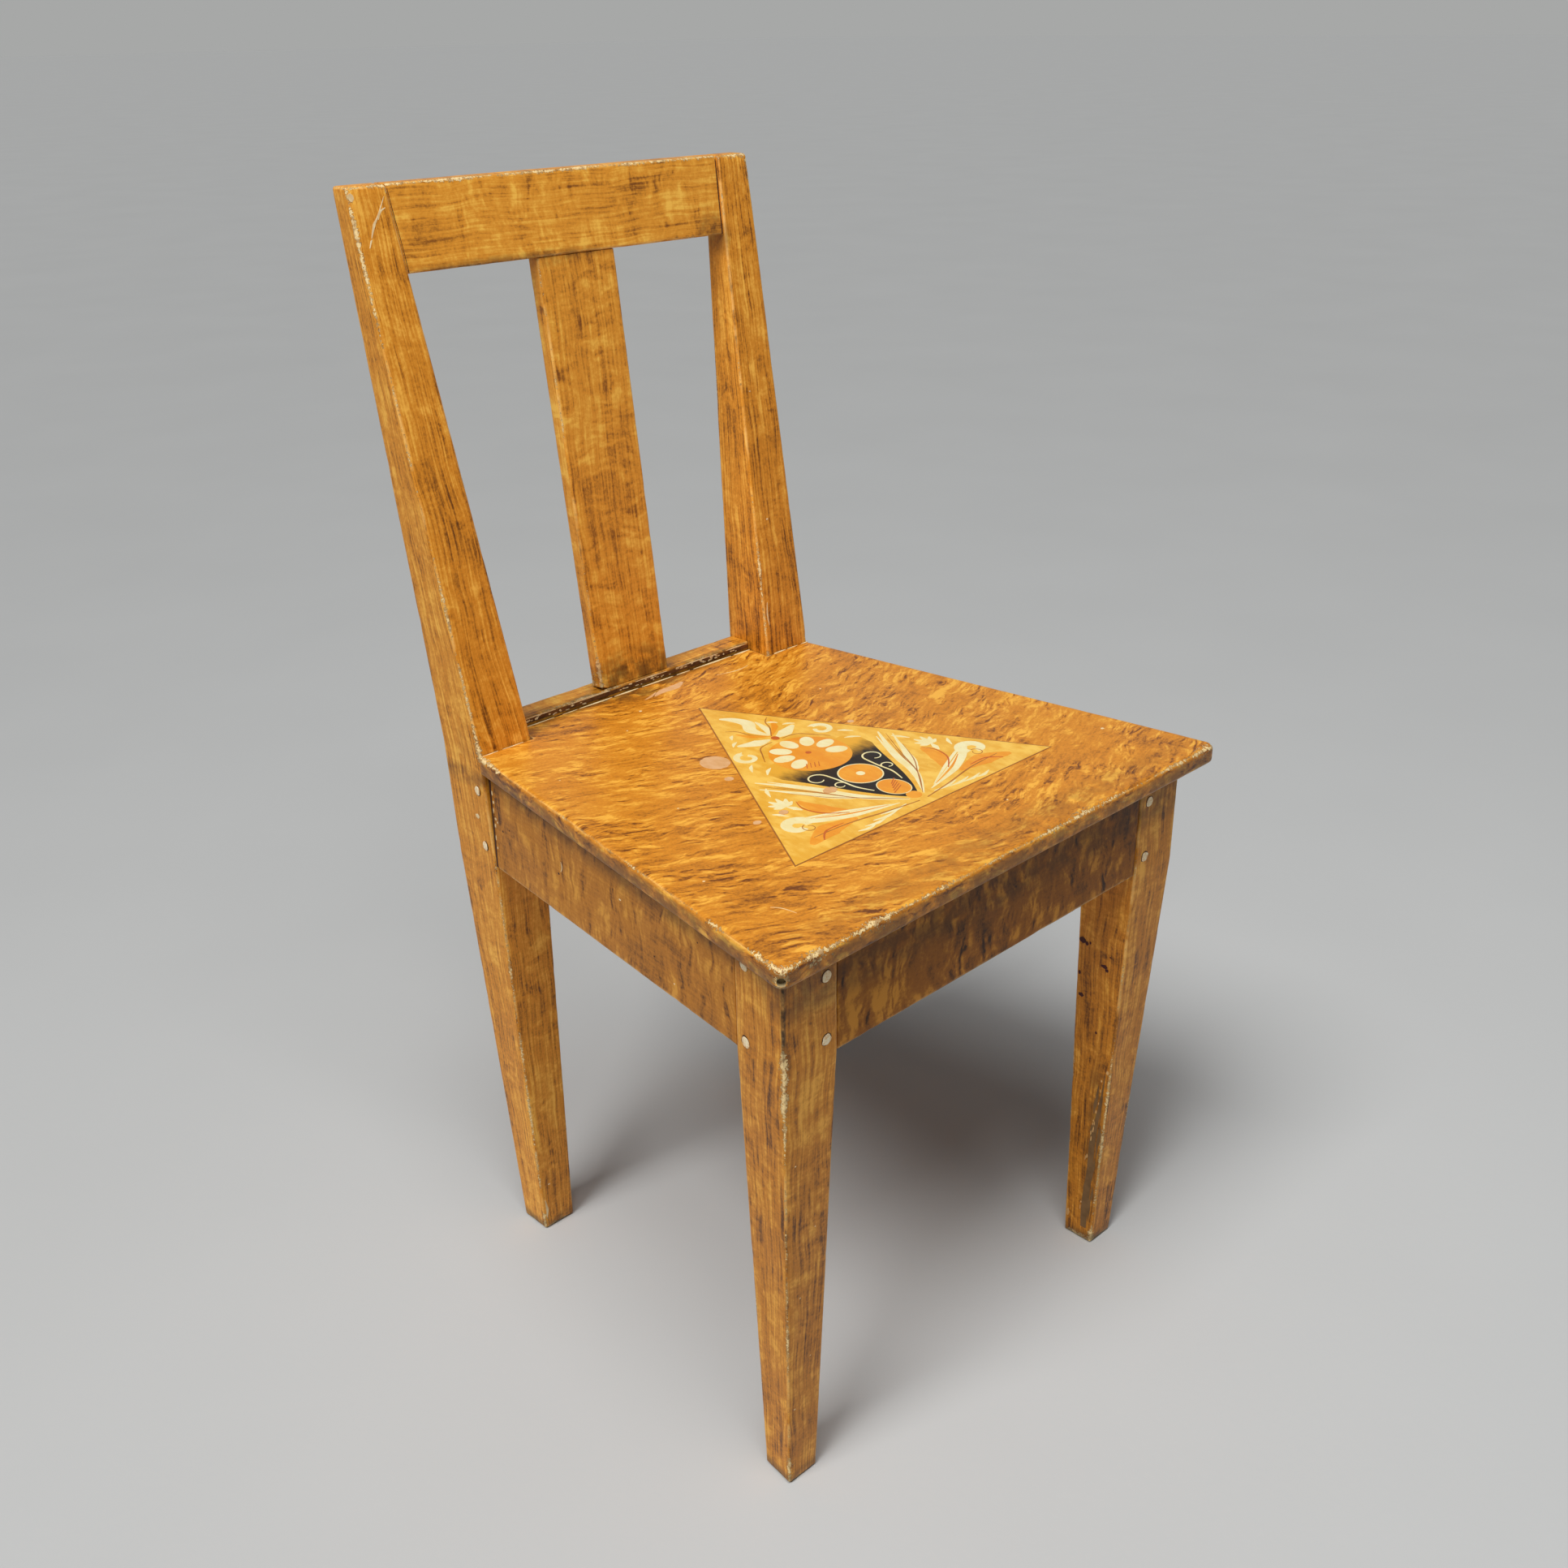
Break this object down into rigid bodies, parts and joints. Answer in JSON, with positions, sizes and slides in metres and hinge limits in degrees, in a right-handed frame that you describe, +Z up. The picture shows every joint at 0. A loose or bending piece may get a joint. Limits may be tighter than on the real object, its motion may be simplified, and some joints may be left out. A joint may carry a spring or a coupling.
{
  "type": "painted wooden side chair",
  "caption": "Wooden side chair with a trapezoid seat board, tapered legs, pegged seat rails and a raked open back with one upright splat, in worn wood-grain paint.",
  "frame": {"origin": "on the floor, under the middle of the chair's box", "axes": "+Z up, the chair's front faces -Y, +X to the right as seen from the front"},
  "size_m": [0.4356, 0.4536, 0.82],
  "materials": {
    "seat_paint": "worn satin wood-grain paint with an ornament",
    "frame_paint": "worn satin wood-grain paint",
    "rail_paint": "worn satin wood-grain paint",
    "back_paint": "worn satin wood-grain paint",
    "peg_wood": "bare end grain",
    "bare_wood": "bare and aged",
    "screw_steel": "dull, lightly rusted steel"
  },
  "bodies": {
    "root": {"seat_board": "seat_paint", "front_leg_left": "frame_paint", "front_leg_right": "frame_paint", "rear_leg_left": "frame_paint", "rear_leg_right": "frame_paint", "front_seat_rail": "rail_paint", "rear_seat_rail": "rail_paint", "side_seat_rail_left": "rail_paint", "side_seat_rail_right": "rail_paint", "top_rail": "back_paint", "back_splat": "back_paint", "front_leg_pegs_left": "peg_wood", "front_leg_pegs_right": "peg_wood", "rear_leg_pegs_left": "peg_wood", "rear_leg_pegs_right": "peg_wood", "front_cleat": "bare_wood", "rear_cleat": "bare_wood", "side_cleat_left": "bare_wood", "side_cleat_right": "bare_wood", "cleat_screws": "screw_steel", "seat_screws": "screw_steel"}
  },
  "joints": []
}
